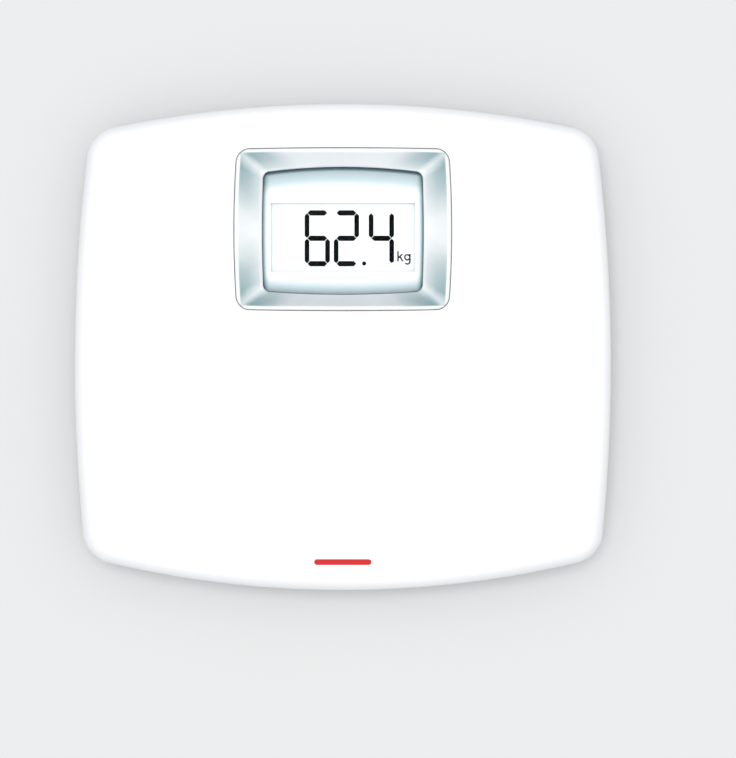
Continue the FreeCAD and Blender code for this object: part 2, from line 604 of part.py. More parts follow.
# ================================================================ feet and load cells
def foot_cup(x, y):
    """Round cup under a load cell: a dished disc with a post that carries the cell's tongue."""
    pin_top = CELL_Z + CELL_T + 1.0
    profile = [(0, CUP_LOW + 1.0), (PAD_R + 0.1, CUP_LOW + 1.0), (PAD_R + 0.1, CUP_LOW),
               (CUP_R - 1.4, CUP_LOW), (CUP_R, CUP_LOW + 2.2), (CUP_R, CUP_TOP),
               (CUP_R - 1.8, CUP_TOP), (CUP_R - 1.8, CUP_LOW + 3.2),
               (7.0, CUP_LOW + 3.2), (4.0, CELL_Z - 2.0), (4.0, CELL_Z), (PIN_R, CELL_Z), (PIN_R, pin_top),
               (PIN_R - 0.6, pin_top + 0.5), (0, pin_top + 0.5)]
    cup = revolved(profile, x, y)
    ribs = []
    for k in range(6):
        rib = box(x + 4.5, x + CUP_R - 1.0, y - 0.7, y + 0.7, CUP_LOW + 3.0, CUP_TOP - 1.0)
        rib.rotate(V(x, y, 0), V(0, 0, 1), 60.0 * k + 30.0)
        ribs.append(rib)
    return fused([cup] + ribs)


def foot_pad(x, y):
    """Rubber disc with two grip grooves; it stands on the floor."""
    profile = [(0, 0), (6.5, 0), (7.0, 0.6), (8.6, 0.6), (9.1, 0), (12.4, 0), (12.9, 0.6), (14.5, 0.6),
               (15.0, 0), (PAD_R - 0.8, 0), (PAD_R, 0.8), (PAD_R, PAD_T), (0, PAD_T)]
    return revolved(profile, x, y)


def load_cell(x, y):
    """E-shaped steel plate: an outer frame, and an inner tongue on two bending beams."""
    half = CELL_SIZE / 2
    plate = box(x - half, x + half, y - half, y + half, CELL_Z, CELL_Z + CELL_T)
    plate = plate.makeFillet(3.0, [e for e in plate.Edges if e.BoundBox.ZLength > 1.0])
    high = CELL_Z + CELL_T + 1
    slots = [box(x - 11.5, x - 10.0, y - 11.5, y + 11.5, CELL_Z - 1, high),
             box(x + 10.0, x + 11.5, y - 11.5, y + 11.5, CELL_Z - 1, high),
             box(x - 11.5, x + 11.5, y + 10.0, y + 11.5, CELL_Z - 1, high),
             box(x - 5.5, x - 4.0, y - 7.5, y + 6.0, CELL_Z - 1, high),
             box(x + 4.0, x + 5.5, y - 7.5, y + 6.0, CELL_Z - 1, high),
             box(x - 5.5, x + 5.5, y - 8.5, y - 7.0, CELL_Z - 1, high)]
    return plate.cut(slots + [rod(PIN_HOLE_R, x, y, CELL_Z - 1, high)])


def strain_gauges():
    films = []
    for x, y in FEET.values():
        for dx in (-7.7, 7.7):
            low = CELL_Z + CELL_T
            films.append(box(x + dx - 1.8, x + dx + 1.8, y - 5.0, y + 3.0, low, low + 0.15))
    return group(films)


def cell_carrier(x, y):
    """Plastic cap that seats on the cell's outer frame and hooks under it at the corners."""
    half, cell = CELL_HOLDER / 2, CELL_SIZE / 2 + 0.2
    seat = CELL_Z + CELL_T
    cap = box(x - half, x + half, y - half, y + half, HOLDER_LOW, HOLDER_TOP)
    cap = cap.makeFillet(4.0, [e for e in cap.Edges if e.BoundBox.ZLength > 5.0])
    cap = cap.cut([box(x - cell, x + cell, y - cell, y + cell, HOLDER_LOW - 1, seat),
                   box(x - 13.0, x + 13.0, y - 13.0, y + 13.0, seat - 1, HOLDER_TOP - 2.0)])
    hooks = []
    for sx in (-1, 1):
        for sy in (-1, 1):
            hx, hy = x + sx * (cell - 1.5), y + sy * (cell - 1.5)
            hooks.append(box(hx - 2.0, hx + 2.0, hy - 2.0, hy + 2.0, HOLDER_LOW, CELL_Z - 0.02))
    cap = fused([cap] + hooks)
    return cap.cut(cable_slot(x, y))


def cable_slot(x, y):
    side = -1 if x > 0 else 1
    x0, x1 = sorted((x + side * 15.0, x + side * 23.0))
    return box(x0, x1, y - 2.0, y + 2.0, HOLDER_LOW - 1, HOLDER_LOW + 4.0)


# ================================================================ cables
def cable(points, r):
    """Round cable along straight runs joined by arcs that touch both runs."""
    pts = [V(*p) for p in points]
    edges, start = [], pts[0]
    for before, here, after in zip(pts, pts[1:], pts[2:]):
        a, b = (before - here), (after - here)
        turn = math.pi - a.getAngle(b)
        cut = 0.45 * min(a.Length, b.Length)
        a.normalize()
        b.normalize()
        radius = cut / math.tan(turn / 2)
        p, q = here + a * cut, here + b * cut
        middle = (a + b).normalize()
        centre = here + middle * math.hypot(radius, cut)
        mid = centre - middle * radius
        edges += [Part.LineSegment(start, p).toShape(), Part.Arc(p, mid, q).toShape()]
        start = q
    edges.append(Part.LineSegment(start, pts[-1]).toShape())
    path = Part.Wire(edges)
    direction = pts[1] - pts[0]
    ring = Part.Wire(Part.makeCircle(r, pts[0], direction))
    return path.makePipeShell([ring], True, True)


def header_end(index):
    """Where a cable enters its header, and a point before it on the way in."""
    mouth = DISPLAY.multVec(V(HEADER_X[index], HEADER_Y - 0.5, UNDER - 2.6))
    return (mouth.x, mouth.y - 10.0, mouth.z), (mouth.x, mouth.y, mouth.z)


def cell_cable(name):
    """Lead from a load cell to its header on the board, clipped along the pan."""
    x, y = FEET[name]
    s = 1 if x > 0 else -1
    index = {"rear_left": 0, "front_left": 1, "front_right": 3, "rear_right": 4}[name]
    near, end = header_end(index)
    start = [(x - s * 17.5, y, HOLDER_LOW + 2.5), (x - s * 27.0, y, HOLDER_LOW + 2.7)]
    if y > 0:
        way = [(s * 84.0, 84.0, 14.8), (s * 80.0, 40.0, 14.8), (s * 66.0, 22.0, 15.0)]
    else:
        way = [(s * 86.0, -82.0, 14.8), (s * 84.0, -36.0, 14.8), (s * 74.0, 2.0, 15.2),
               (s * 46.0, 14.0, 16.0)]
    return cable(start + way + [near, end], 1.3)


def battery_leads():
    near, end = header_end(2)
    leads = []
    for k, dy in enumerate((-CELL_AAA_Y, CELL_AAA_Y)):
        shift = -1.2 if k == 0 else 1.2
        start = (-BAY_X + 0.2, BAY_Y + dy, BAY_TOP + 3.75)
        way = [start, (-BAY_X - 6.0 - 3 * shift, BAY_Y + dy + 5.0, BAY_TOP + 3.75),
               (-26.0 - 3 * shift, 8.0 + 2 * shift, 22.0)]
        way += [(p[0] + shift, p[1], p[2]) for p in (near, end)]
        leads.append(cable(way, 0.7))
    return group(leads)


# ================================================================ batteries
def battery(sign):
    """AAA cell with its positive nub towards sign * X."""
    y = BAY_Y + sign * CELL_AAA_Y
    tip = sign * (BAY_X - 1.0)
    body_l = CELL_AAA_L - NUB_L
    body = Part.makeCylinder(CELL_AAA_R, body_l, V(tip - sign * NUB_L, y, CELL_AAA_Z), V(-sign, 0, 0))
    body = body.makeFillet(0.5, [e for e in body.Edges if e.BoundBox.XLength < 0.01])
    nub = Part.makeCylinder(NUB_R, NUB_L + 0.2, V(tip, y, CELL_AAA_Z), V(-sign, 0, 0))
    return fused([body, nub])


def coil(coil_r, wire_r, pitch, half_turns):
    """Coil spring up Z: each half turn is an arc tilted to climb half a pitch."""
    arcs = []
    for k in range(half_turns):
        side = 1 if k % 2 == 0 else -1
        low, step = k * pitch / 2, pitch / 2
        arcs.append(Part.Arc(V(side * coil_r, 0, low), V(0, side * coil_r, low + step / 2),
                             V(-side * coil_r, 0, low + step)).toShape())
    ring = Part.Wire(Part.makeCircle(wire_r, V(coil_r, 0, 0), V(0, 1, 0)))
    return Part.Wire(arcs).makePipeShell([ring], True, False)


def contact_springs():
    """A coil at each cell's flat end, between the cell and its contact plate."""
    wire_r, half_turns, room = 0.35, 7, 4.7
    pitch = (room - 2 * wire_r - 0.1) / (half_turns / 2)
    coils = []
    for sign in (-1, 1):
        spring = coil(2.9, wire_r, pitch, half_turns)
        spring.rotate(V(0, 0, 0), V(0, 1, 0), 90.0 * sign)
        start = -sign * (BAY_X - 0.4 - wire_r - 0.05)
        spring.translate(V(start, BAY_Y + sign * CELL_AAA_Y, CELL_AAA_Z))
        coils.append(spring)
    return group(coils)


def contact_plates():
    """Two end terminals with solder tabs, and one strip that joins the cells at the far end."""
    plates = []
    t = 0.4
    for dy in (-CELL_AAA_Y, CELL_AAA_Y):
        y = BAY_Y + dy
        plate = box(-BAY_X, -BAY_X + t, y - 4.2, y + 4.2, CELL_AAA_Z - 4.4, CELL_AAA_Z + 4.4)
        tab = box(-BAY_X, -BAY_X + t, y - 1.2, y + 1.2, CELL_AAA_Z + 4.0, BAY_TOP + 3.0)
        plates.append(fused([plate, tab] + bump(-1, y, dy < 0, t)))
    strip = box(BAY_X - t, BAY_X, BAY_Y - 10.4, BAY_Y + 10.4, CELL_AAA_Z - 4.2, CELL_AAA_Z + 4.2)
    plates.append(fused([strip] + bump(1, BAY_Y + CELL_AAA_Y, True, t)))
    return group(plates)


def bump(end, y, positive, t):
    """Round boss that meets the positive nub of the cell."""
    if not positive:
        return []
    return [Part.makeCylinder(2.2, 1.0 - t + 0.2, V(end * (BAY_X - t + 0.2), y, CELL_AAA_Z), V(-end, 0, 0))]


def battery_door():
    """Flush lid on two pivot pins, with a latch tongue and finger ridges at its free edge."""
    plate = box(-DOOR_X, DOOR_X, DOOR_FRONT, HINGE_Y, PAN_Z, PAN_Z + DOOR_T)
    upright = [e for e in plate.Edges if e.BoundBox.ZLength > 1.0 and e.CenterOfMass.y < DOOR_FRONT + 1]
    plate = plate.makeFillet(1.5, upright)
    barrel = Part.makeCylinder(BARREL_R, 2 * DOOR_X, V(-DOOR_X, HINGE_Y, HINGE_Z), V(1, 0, 0))
    reach = DOOR_X + 2.4
    pins = Part.makeCylinder(DOOR_PIN_R, 2 * reach, V(-reach, HINGE_Y, HINGE_Z), V(1, 0, 0))
    tongue_y = DOOR_FRONT + 1.2
    tongue = box(-6, 6, tongue_y, tongue_y + 1.2, PAN_Z + DOOR_T - 0.2, 14.0)
    bead = Part.makeCylinder(0.6, 12.0, V(-6, tongue_y, 13.2), V(1, 0, 0))
    inner = PAN_Z + DOOR_T
    ribs = [box(x - 0.6, x + 0.6, DOOR_FRONT + 4.5, HINGE_Y - 3.0, inner - 0.2, inner + 0.35)
            for x in (-16, 0, 16)]
    ridges = [box(-8, 8, DOOR_FRONT + 3.0 + 2.0 * k, DOOR_FRONT + 4.0 + 2.0 * k, PAN_Z - 0.5, PAN_Z + 0.4)
              for k in range(4)]
    return fused([plate, barrel, pins, tongue, bead] + ribs).cut(ridges)


# ================================================================ all the nodes
def build():
    nodes = {
        "platform_cover": platform_cover(),
        "base_pan": base_pan(),
        "case_screws": case_screws(),
        "display_bezel": display_bezel(),
        "bezel_gasket": bezel_gasket(),
        "display_lens": display_lens(),
        "lcd_surround": lcd_surround(),
        "lcd_polariser": lcd_plate(45.5, 24.5, -11.0, -10.8),
        "lcd_front_glass": lcd_plate(47.0, 26.0, -12.1, -11.0),
        "lcd_segments": lcd_segments(),
        "lcd_rear_glass": lcd_plate(47.0, 23.0, -13.35, -12.25),
        "lcd_reflector": lcd_plate(46.0, 22.5, -13.6, -13.35),
        "lcd_frame": lcd_frame(),
        "zebra_strips": zebra_strips(),
        "display_carrier": display_carrier(),
        "carrier_screws": carrier_screws(),
        "main_board": main_board(),
        "board_screws": board_screws(),
        "controller_chip": controller_chip(),
        "chip_parts": chip_parts(),
        "capacitors": capacitors(),
        "clock_crystal": clock_crystal(),
        "tap_sensor": tap_sensor(),
        "wire_headers": wire_headers(),
        "unit_switch": unit_switch(),
        "switch_plunger": switch_plunger(),
        "unit_button": unit_button(),
        "strain_gauges": strain_gauges(),
        "battery_1": battery(1),
        "battery_2": battery(-1),
        "contact_springs": contact_springs(),
        "contact_plates": contact_plates(),
        "battery_leads": battery_leads(),
        "battery_door": battery_door(),
    }
    for name, (x, y) in FEET.items():
        nodes["foot_cup_" + name] = foot_cup(x, y)
        nodes["foot_pad_" + name] = foot_pad(x, y)
        nodes["load_cell_" + name] = load_cell(x, y)
        nodes["cell_carrier_" + name] = cell_carrier(x, y)
        nodes["cell_cable_" + name] = cell_cable(name)
    return nodes


def main():
    os.makedirs("parts", exist_ok=True)
    for name, shape in build().items():
        shape.exportStep("parts/" + name + ".step")
        print(f"{name:28s} valid {shape.isValid()} solids {len(shape.Solids)} volume {shape.Volume:.1f}")


main()
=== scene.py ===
import json
import math

import bpy
import numpy as np
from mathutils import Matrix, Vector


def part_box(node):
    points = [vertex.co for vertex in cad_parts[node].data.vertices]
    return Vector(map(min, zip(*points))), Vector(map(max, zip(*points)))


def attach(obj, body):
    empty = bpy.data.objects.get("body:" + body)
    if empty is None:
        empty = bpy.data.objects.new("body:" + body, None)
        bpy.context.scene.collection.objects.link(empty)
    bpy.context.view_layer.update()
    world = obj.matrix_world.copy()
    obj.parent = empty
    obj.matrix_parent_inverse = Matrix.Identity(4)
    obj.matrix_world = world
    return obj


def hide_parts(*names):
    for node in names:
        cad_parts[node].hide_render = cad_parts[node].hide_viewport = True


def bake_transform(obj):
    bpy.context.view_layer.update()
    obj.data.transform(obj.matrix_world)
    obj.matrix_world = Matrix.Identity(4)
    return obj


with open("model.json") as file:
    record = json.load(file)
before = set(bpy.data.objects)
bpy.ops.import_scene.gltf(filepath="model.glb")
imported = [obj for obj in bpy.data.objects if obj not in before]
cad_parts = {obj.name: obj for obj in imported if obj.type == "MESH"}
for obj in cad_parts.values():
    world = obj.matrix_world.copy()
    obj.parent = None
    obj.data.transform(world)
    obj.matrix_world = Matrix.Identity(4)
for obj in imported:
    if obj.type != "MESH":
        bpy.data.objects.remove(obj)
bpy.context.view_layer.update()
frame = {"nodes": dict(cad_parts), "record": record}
NODES = frame["nodes"]

# ------------------------------------------------------------ the object's sizes, millimetres
MM = 0.001
DOME_TOP, DOME_R = 42.0, 6000.0           # the platform's crown: height at its middle, and radius
RIM_Z, SKIRT_Z = 31.5, 9.0                # top and foot of the drafted wall
DRAFT = math.radians(6.0)
EDGE_R, WALL = 8.0, 2.8                   # rolled edge between wall and crown, and the shell's thickness
DISPLAY_Y = 70.0                          # the display's middle
# half sizes of the bezel's rim and of its opening, and the radii by which their sides bow out
BEZEL_X, BEZEL_Y = 64.65, 48.35
BEZEL_SIDE_R, BEZEL_END_R = 615.0, 2660.0
VIEW_X, VIEW_REAR, VIEW_FRONT = 48.2, 37.5, -38.9
VIEW_SIDE_R, VIEW_REAR_R, VIEW_FRONT_R = 825.0, 345.0, 570.0
# heights on the display count from the crown at its middle
LIP_W, LIP_H, FUNNEL_Z = 2.7, 0.8, -4.5
POCKET_GAP, POCKET_ROUND, LEDGE_Z, LEDGE_T, LEDGE_W, SEAT_OUT = 0.35, 0.3, -3.6, 2.1, 2.6, 2.4
LENS_R, LENS_TOP, LCD_Y = 240.0, -5.4, -4.5
COVER_X, COVER_Y, COVER_LOW, COVER_HIGH = 46.0, 25.0, -12.1, -10.8
BAR_HALF, BAR_R, BAR_Y = 17.0, 1.7, -128.0
BAR_LOW, BAR_HIGH = 0.004, 0.05           # the printed bar's underside and top above the crown
# load cell plates, from the cell's middle; beams run from the window's front edge to the tongue's root
CELL_ROUND, PIN_HOLE_R, CELL_WINDOW = 3.0, 2.2, 11.5
BEAM_X, BEAM_REAR, BEAM_GAP_X, BEAM_GAP_FRONT = 10.0, 10.0, 5.5, -8.5
TONGUE_X, TONGUE_FRONT, TONGUE_REAR = 4.0, -7.0, 6.0
GAUGE_X, GAUGE_HALF, GAUGE_FRONT, GAUGE_REAR, GAUGE_T = 7.7, 1.8, -5.0, 3.0, 0.15
TILT = math.asin(DISPLAY_Y / DOME_R)
BODY = dict(half_x=160.0, rear=145.0, front=-145.0, side_r=1084.0, rear_r=690.0, front_r=615.0,
            corner_r=20.0, side_y=-10.5)
BEZEL = dict(half_x=BEZEL_X, rear=BEZEL_Y, front=-BEZEL_Y, side_r=BEZEL_SIDE_R, rear_r=BEZEL_END_R,
             front_r=BEZEL_END_R, corner_r=8.2, side_y=0.0)
VIEW = dict(half_x=VIEW_X, rear=VIEW_REAR, front=VIEW_FRONT, side_r=VIEW_SIDE_R, rear_r=VIEW_REAR_R,
            front_r=VIEW_FRONT_R, corner_r=4.5, side_y=0.0)
PER_SIDE, PER_CORNER = 44, 16             # points along one side and round one corner of an outline
SHARP_ANGLE = math.radians(50.0)          # a mesh edge that folds more than this is drawn sharp
FEET = ("front_left", "front_right", "rear_left", "rear_right")


# ------------------------------------------------------------ outlines
def outline(half_x, rear, front, side_r, rear_r, front_r, corner_r, side_y):
    """Points and outward normals, counter-clockwise, round four bowed sides and tangent corners."""
    def corner(end, end_r, sign):
        side_c = np.array([half_x - side_r, side_y])
        end_c = np.array([0.0, end - sign * end_r])
        r1, r2 = side_r - corner_r, end_r - corner_r
        across = end_c - side_c
        d = np.hypot(*across)
        a = (r1 * r1 - r2 * r2 + d * d) / (2 * d)
        h = math.sqrt(r1 * r1 - a * a)
        turned = np.array([across[1], -across[0]])
        c = max((side_c + (a * across + s * h * turned) / d for s in (-1, 1)), key=lambda q: q[0])
        to_side, to_end = c - side_c, c - end_c
        return c, math.atan2(to_side[1], to_side[0]), math.atan2(to_end[1], to_end[0])

    rear_c, rear_a, rear_b = corner(rear, rear_r, 1)
    front_c, front_a, front_b = corner(front, front_r, -1)
    flip = np.array([-1.0, 1.0])
    side_c = np.array([half_x - side_r, side_y])
    arcs = [
        (side_c, side_r, front_a, rear_a, PER_SIDE),
        (rear_c, corner_r, rear_a, rear_b, PER_CORNER),
        (np.array([0.0, rear - rear_r]), rear_r, rear_b, math.pi - rear_b, PER_SIDE),
        (rear_c * flip, corner_r, math.pi - rear_b, math.pi - rear_a, PER_CORNER),
        (side_c * flip, side_r, math.pi - rear_a, math.pi - front_a, PER_SIDE),
        (front_c * flip, corner_r, math.pi - front_a, math.pi - front_b, PER_CORNER),
        (np.array([0.0, front + front_r]), front_r, math.pi - front_b, 2 * math.pi + front_b, PER_SIDE),
        (front_c, corner_r, 2 * math.pi + front_b, 2 * math.pi + front_a, PER_CORNER),
    ]
    points, normals = [], []
    for c, r, start, end, count in arcs:
        angle = start + (end - start) * np.arange(count) / count
        n = np.stack([np.cos(angle), np.sin(angle)], 1)
        points.append(c + r * n)
        normals.append(n)
    return np.concatenate(points), np.concatenate(normals)


BODY_P, BODY_N = outline(**BODY)
BEZEL_P, BEZEL_N = outline(**BEZEL)
VIEW_P, VIEW_N = outline(**VIEW)


def dome_z(xy, inset=0.0):
    """Height of the crown, or of a surface that far inside it, over points in plan."""
    return DOME_TOP - DOME_R + np.sqrt((DOME_R - inset) ** 2 - xy[:, 0] ** 2 - xy[:, 1] ** 2)


def at_height(xy, z):
    """Points in plan lifted to one height, or each to its own."""
    return np.concatenate([xy, np.broadcast_to(np.asarray(z, float).reshape(-1, 1), (len(xy), 1))], 1)


def on_display(points):
    """From the display's own frame, square to the platform there, to the body's frame."""
    x, y, z = points.T
    c, s = math.cos(TILT), math.sin(TILT)
    top = dome_z(np.array([[0.0, DISPLAY_Y]]))[0]
    return np.stack([x, DISPLAY_Y + y * c + z * s, top - y * s + z * c], 1)


def bezel_ring(inset, z):
    """The bezel's outline, set in by a distance, in the display's own frame."""
    return at_height(BEZEL_P - BEZEL_N * inset, z)


def view_ring(inset, z):
    """The opening's outline, set in by a distance, in the display's own frame."""
    return at_height(VIEW_P - VIEW_N * inset, z)


def between(a, b, count):
    """Rings from a to b, a left out."""
    return [a + (b - a) * (k / count) for k in range(1, count + 1)]


def rounded(corner, a, b, count):
    """Rings of a soft curve from a to b that leaves along the lines to the shared corner."""
    t = np.linspace(0.0, 1.0, count + 1)
    return [(1 - k) ** 2 * a + 2 * k * (1 - k) * corner + k * k * b for k in t]


def tube(name, rings, material, body="housing"):
    """Closed mesh through equal rings, the last joined to the first."""
    count = len(rings[0])
    verts = np.concatenate(rings) * MM
    faces = []
    for i in range(len(rings)):
        low, high = i * count, (i + 1) % len(rings) * count
        for k in range(count):
            n = (k + 1) % count
            faces.append((low + k, low + n, high + n, high + k))
    return solid(name, verts, faces, material, body)


def solid(name, verts, faces, material, body="housing"):
    """A smooth-shaded piece that rides on a body, or on none."""
    mesh = bpy.data.meshes.new(name)
    mesh.from_pydata([tuple(v) for v in verts], [], faces)
    mesh.materials.append(material)
    mesh.polygons.foreach_set("use_smooth", [True] * len(mesh.polygons))
    mesh.set_sharp_from_angle(angle=SHARP_ANGLE)
    mesh.update()
    obj = bpy.data.objects.new(name, mesh)
    bpy.context.collection.objects.link(obj)
    if body:
        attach(obj, body)
    return obj


# ------------------------------------------------------------ shader helpers
class Graph:
    """A material's nodes, wired by name."""

    def __init__(self, name):
        self.mat = bpy.data.materials.new(name)
        self.mat.use_nodes = True
        self.tree = self.mat.node_tree
        self.tree.nodes.clear()
        self.out = self.tree.nodes.new("ShaderNodeOutputMaterial")

    def node(self, kind, **values):
        made = self.tree.nodes.new("ShaderNode" + kind)
        for key, value in values.items():
            setattr(made, key, value)
        return made

    def link(self, a, b):
        self.tree.links.new(a, b)

    def put(self, socket, value):
        """A number or colour on the socket, or a link from another socket."""
        if isinstance(value, bpy.types.NodeSocket):
            self.link(value, socket)
        elif isinstance(value, tuple) and len(value) == 3 and socket.type == "RGBA":
            socket.default_value = (*value, 1.0)
        else:
            socket.default_value = value

    def math(self, operation, a, b=0.0, clamp=False):
        made = self.node("Math", operation=operation, use_clamp=clamp)
        self.put(made.inputs[0], a)
        self.put(made.inputs[1], b)
        return made.outputs[0]

    def coords(self):
        return self.node("TexCoord").outputs["Object"]

    def noise(self, scale, detail=3.0, rough=0.55, where=None):
        made = self.node("TexNoise")
        self.put(made.inputs["Scale"], scale)
        self.put(made.inputs["Detail"], detail)
        self.put(made.inputs["Roughness"], rough)
        self.link(where or self.coords(), made.inputs["Vector"])
        return made.outputs["Fac"]

    def stretched(self, factors):
        """Object coordinates scaled by three factors, for brushed or drawn grain."""
        made = self.node("Mapping")
        self.link(self.coords(), made.inputs["Vector"])
        made.inputs["Scale"].default_value = factors
        return made.outputs["Vector"]

    def ramp(self, factor, *stops):
        """Stops are (position, value), value a number or a colour."""
        made = self.node("ValToRGB")
        self.link(factor, made.inputs["Fac"])
        marks = made.color_ramp.elements
        while len(marks) < len(stops):
            marks.new(0.5)
        for mark, (position, value) in zip(marks, stops):
            mark.position = position
            mark.color = (*value, 1.0) if isinstance(value, tuple) else (value, value, value, 1.0)
        return made.outputs["Color"]

    def mix(self, factor, a, b, blend="MIX"):
        made = self.node("MixRGB", blend_type=blend)
        self.put(made.inputs["Fac"], factor)
        self.put(made.inputs["Color1"], a)
        self.put(made.inputs["Color2"], b)
        return made.outputs["Color"]

    def bump(self, height, strength, distance=0.0002):
        made = self.node("Bump")
        made.inputs["Strength"].default_value = strength
        made.inputs["Distance"].default_value = distance
        self.link(height, made.inputs["Height"])
        return made.outputs["Normal"]

    def principled(self, **inputs):
        made = self.node("BsdfPrincipled")
        for key, value in inputs.items():
            self.put(made.inputs[key.replace("_", " ")], value)
        self.link(made.outputs[0], self.out.inputs["Surface"])
        return self.mat


def shade(colour, factor):
    """The colour made darker or lighter, at most white."""
    return tuple(min(1.0, c * factor) for c in colour)


def plastic(name, colour, rough, vary=0.03, grain=0.15, grain_scale=1400.0, cloud=45.0, specular=0.5):
    """Moulded plastic: a slow drift of tone, a fine moulded grain and uneven gloss."""
    g = Graph(name)
    drift = g.noise(cloud)
    fine = g.noise(grain_scale, 2.0)
    tone = g.ramp(drift, (0.3, shade(colour, 1.0 - vary)), (0.7, colour))
    gloss = g.ramp(g.noise(cloud * 4.0), (0.3, rough * 0.88), (0.7, min(1.0, rough * 1.12)))
    return g.principled(Base_Color=tone, Roughness=gloss, Normal=g.bump(fine, grain),
                        Specular_IOR_Level=specular)


def metal(name, colour, rough, vary=0.08, grain=0.1, stretch=(1.0, 1.0, 1.0), scale=700.0):
    """Metal with drawn or rolled grain along the axis that stretch shortens."""
    g = Graph(name)
    lines = g.noise(scale, 4.0, 0.6, g.stretched(stretch))
    tone = g.ramp(lines, (0.25, shade(colour, 1.0 - vary)), (0.75, colour))
    gloss = g.ramp(lines, (0.25, rough * 0.8), (0.75, min(1.0, rough * 1.25)))
    return g.principled(Base_Color=tone, Roughness=gloss, Metallic=1.0, Normal=g.bump(lines, grain))


def clear(name, tint, haze, gloss_rough):
    """Thin clear sheet: what is behind shows through, with a faint reflection on top."""
    g = Graph(name)
    through = g.node("BsdfTransparent")
    smear = g.noise(55.0, 4.0)
    g.put(through.inputs["Color"], g.ramp(smear, (0.3, shade(tint, 1.0 - haze)), (0.7, tint)))
    shine = g.node("BsdfGlossy")
    shine.inputs["Color"].default_value = (1.0, 1.0, 1.0, 1.0)
    g.put(shine.inputs["Roughness"], g.ramp(smear, (0.3, gloss_rough), (0.7, gloss_rough * 1.6)))
    facing = g.node("LayerWeight")
    facing.inputs["Blend"].default_value = 0.06
    blend = g.node("MixShader")
    g.link(facing.outputs["Facing"], blend.inputs[0])
    g.link(through.outputs[0], blend.inputs[1])
    g.link(shine.outputs[0], blend.inputs[2])
    g.link(blend.outputs[0], g.out.inputs["Surface"])
    return g.mat


def display_plane(g):
    """A surface point's distance from the display's middle, |across| and ahead, in millimetres."""
    split = g.node("SeparateXYZ")
    g.link(g.coords(), split.inputs[0])
    x = g.math("MULTIPLY", g.math("ABSOLUTE", split.outputs["X"]), 1.0 / MM)
    y = g.math("MULTIPLY", g.math("SUBTRACT", split.outputs["Y"], DISPLAY_Y * MM), 1.0 / MM)
    return x, y


def bowed(g, reach, along, radius):
    """How far out a bowed side stands at a point along it, reach being its middle's."""
    return g.math("SUBTRACT", reach, g.math("DIVIDE", g.math("MULTIPLY", along, along), 2.0 * radius))


def bezel_silver():
    """Satin silver with a painted reflection: blue-grey patches on both sides of each mitre, lighter right at
    the mitre as a painted highlight.

    A point's share of the way from the opening to the rim is taken towards the side and towards the end;
    the mitre is where the two are equal.
    """
    side_scale, end_scale = 11.0, 16.0      # millimetres from the mitre for each unit of lead
    reflection_start, reflection_length = 2.5, 50.0
    g = Graph("bezel_silver")
    x, y = display_plane(g)
    high = g.math("ABSOLUTE", y)
    inner_x, outer_x = bowed(g, VIEW_X, y, VIEW_SIDE_R), bowed(g, BEZEL_X, y, BEZEL_SIDE_R)
    inner_y, outer_y = bowed(g, VIEW_REAR, x, VIEW_REAR_R), bowed(g, BEZEL_Y, x, BEZEL_END_R)
    out_x = g.math("DIVIDE", g.math("SUBTRACT", x, inner_x), g.math("SUBTRACT", outer_x, inner_x))
    out_y = g.math("DIVIDE", g.math("SUBTRACT", high, inner_y), g.math("SUBTRACT", outer_y, inner_y))
    lead = g.math("SUBTRACT", out_x, out_y)
    along = g.math("MAXIMUM", g.math("MULTIPLY", lead, side_scale), g.math("MULTIPLY", lead, -end_scale))
    wander = g.math("MULTIPLY", g.noise(70.0, 2.0), 5.0)
    away = g.math("DIVIDE", g.math("ADD", g.math("SUBTRACT", along, reflection_start), wander), reflection_length, True)
    # painted reflection: blue-grey either side of each mitre, a lighter painted highlight at the mitre
    # itself, fading away along the faces
    painted_reflection = g.ramp(away, (0.0, 0.50), (0.04, 0.70), (0.09, 1.0), (0.26, 0.80), (0.50, 0.22), (0.75, 0.08))
    out = g.math("MAXIMUM", out_x, out_y)
    # how strongly the painted reflection shows across a face, none on the rim's lip
    face = g.ramp(out, (0.0, 0.10), (0.15, 0.50), (0.50, 0.85), (0.80, 1.0), (0.84, 0.9), (0.88, 0.0))
    flakes = g.noise(2600.0, 2.0)
    drift = g.noise(38.0, 3.0)
    silver = g.ramp(drift, (0.3, (0.90, 0.925, 0.935)), (0.7, (0.96, 0.97, 0.975)))
    reflection_blue_grey = (0.29, 0.42, 0.45)
    tone = g.mix(g.math("MULTIPLY", painted_reflection, face), silver, reflection_blue_grey)
    gloss = g.ramp(flakes, (0.3, 0.28), (0.7, 0.35))
    return g.principled(Base_Color=tone, Roughness=gloss, Metallic=0.8, Normal=g.bump(flakes, 0.05))


